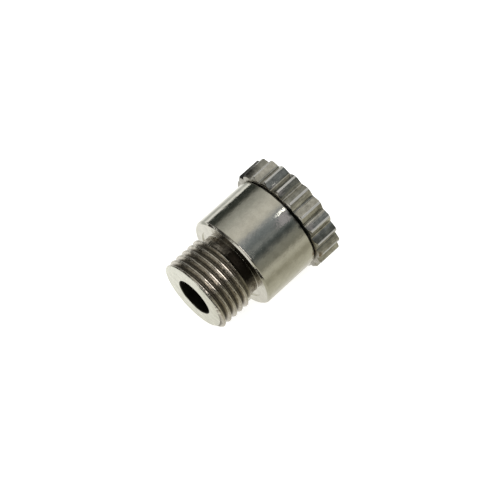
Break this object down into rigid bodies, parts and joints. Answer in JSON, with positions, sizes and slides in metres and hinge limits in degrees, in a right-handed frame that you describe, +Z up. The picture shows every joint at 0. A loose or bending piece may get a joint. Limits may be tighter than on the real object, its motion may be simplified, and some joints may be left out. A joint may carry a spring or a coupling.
{
  "type": "chronograph pusher",
  "caption": "Screw-down chronograph pusher: fluted locking collar on a steel tube with a case thread, and a sprung button with a sealed stem.",
  "frame": {"origin": "centre of the shoulder's seating plane, on the pusher's axis", "axes": "+X along the pusher's axis, out of the watch case towards the button; -X runs into the case; +Z up with the pusher lying on its side"},
  "size_m": [0.0063, 0.005, 0.005],
  "materials": {
    "tube_steel": "polished",
    "collar_steel": "satin",
    "button_steel": "polished",
    "inner_steel": "satin",
    "spring_steel": "satin",
    "bush_brass": "satin",
    "seal_rubber": "matte"
  },
  "bodies": {
    "tube": {"case_tube": "tube_steel", "inner_stem_seal": "seal_rubber", "seal_spacer": "bush_brass", "outer_stem_seal": "seal_rubber", "guide_bush": "bush_brass", "spring_seat": "inner_steel", "return_spring": "spring_steel"},
    "carriage": {"slip_ring": "bush_brass"},
    "collar": {"locking_collar": "collar_steel"},
    "plunger": {"button": "button_steel", "stem": "inner_steel", "retaining_clip": "spring_steel", "button_seal": "seal_rubber"}
  },
  "joints": [
    {"name": "collar_rise", "type": "slide", "parent": "tube", "child": "carriage", "axis": [1, 0, 0], "range_m": [0, 0.0005]},
    {"name": "collar_turn", "type": "hinge", "parent": "carriage", "child": "collar", "pos_m": [0, 0, 0], "axis": [1, 0, 0], "range_deg": [0, 720]},
    {"name": "button_press", "type": "slide", "parent": "carriage", "child": "plunger", "axis": [-1, 0, 0], "range_m": [0, 0.00075], "stiffness_N_per_m": 300, "deforming": ["return_spring"]}
  ],
  "couplings": [
    {"joint": "collar_turn", "follows": "collar_rise", "rad_per_m": 25133}
  ]
}
